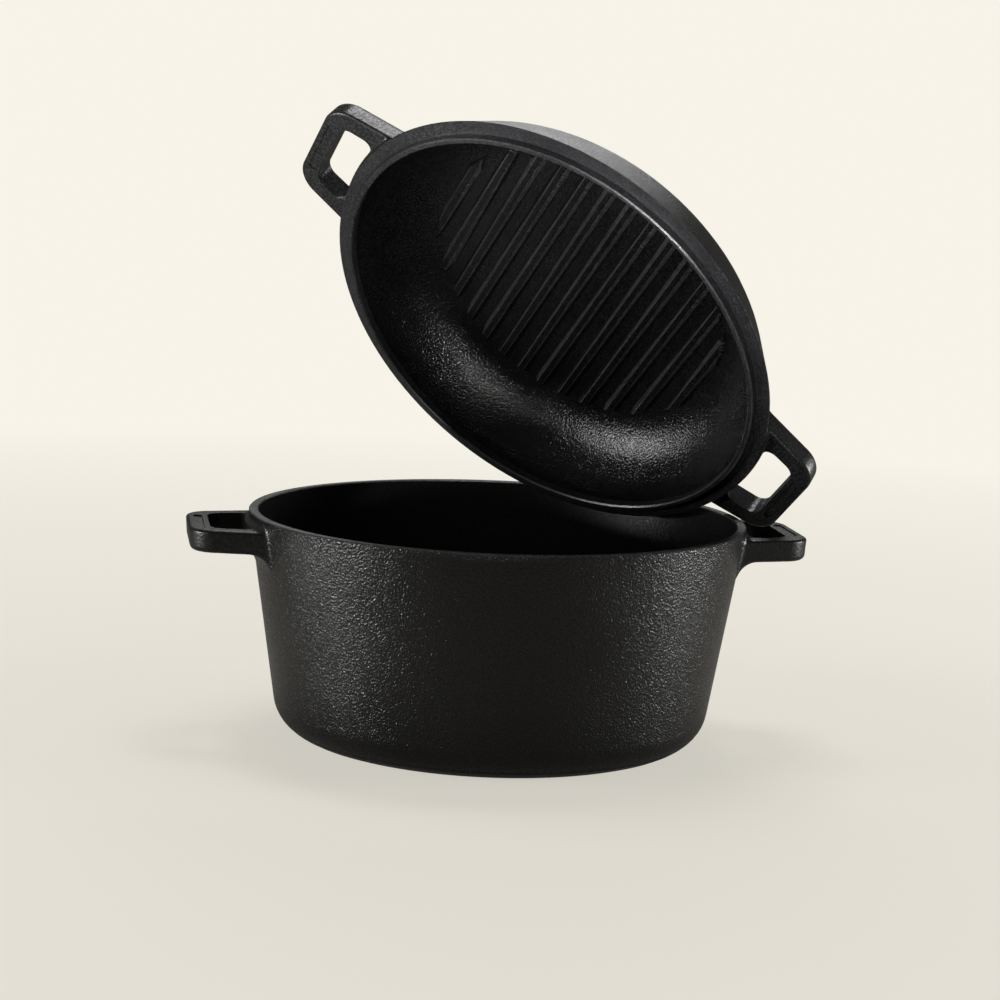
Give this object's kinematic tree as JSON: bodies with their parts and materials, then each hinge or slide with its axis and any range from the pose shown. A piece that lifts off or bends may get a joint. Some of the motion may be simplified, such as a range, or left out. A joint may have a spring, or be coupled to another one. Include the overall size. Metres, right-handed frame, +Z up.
{
  "type": "dutch oven",
  "caption": "Cast-iron dutch oven with loop handles; its lid is a shallow ribbed skillet, leant open against the pot.",
  "frame": {"origin": "centre of the pot's flat base, on the surface it stands on", "axes": "+Z up along the pot's axis, -Y towards the viewer, +X to the viewer's right, the side the skillet's handle hooks into"},
  "size_m": [0.3274, 0.2598, 0.3264],
  "materials": {
    "pot_iron": "pre-seasoned black, orange-peel cast grain, satin",
    "skillet_iron": "pre-seasoned black, orange-peel cast grain, satin"
  },
  "bodies": {
    "pot": {"pot": "pot_iron"},
    "lid": {"skillet_lid": "skillet_iron"}
  },
  "joints": [
    {"name": "lid_lift", "type": "slide", "parent": "pot", "child": "lid", "axis": [0, 0, 1], "range_m": [0, 0.15]}
  ]
}
